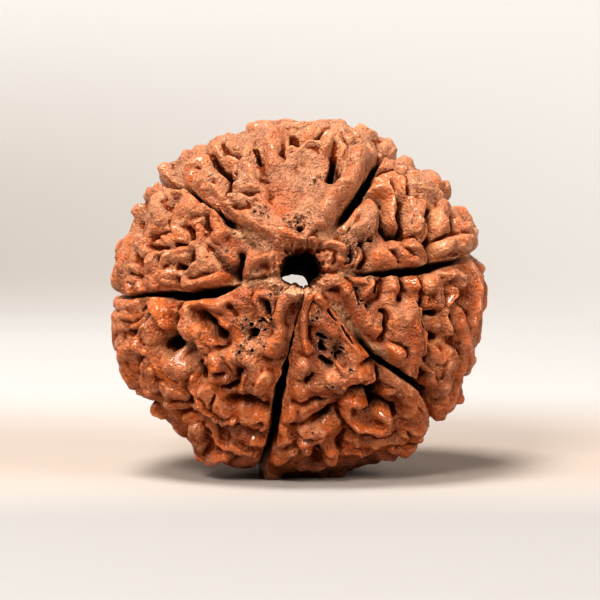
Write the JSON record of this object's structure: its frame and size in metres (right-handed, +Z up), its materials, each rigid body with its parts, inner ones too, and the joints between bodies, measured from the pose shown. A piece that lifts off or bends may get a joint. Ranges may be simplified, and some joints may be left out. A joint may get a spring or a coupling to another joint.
{
  "type": "rudraksha seed",
  "caption": "Rounded woody seed with deep radial clefts, wrinkled and pitted lobes, and a natural bore through its middle for threading as a bead.",
  "frame": {"origin": "centre of the bounding box in plan, at the level the seed rests on", "axes": "+Z up; the front mouth of the bore faces -Y and looks up a little, and +X is to the right of a viewer in front"},
  "size_m": [0.0238, 0.0184, 0.0223],
  "materials": {
    "seed_wood": "dry woody stone with a waxy sheen on the ridges"
  },
  "bodies": {
    "root": {"seed": "seed_wood"}
  },
  "joints": []
}
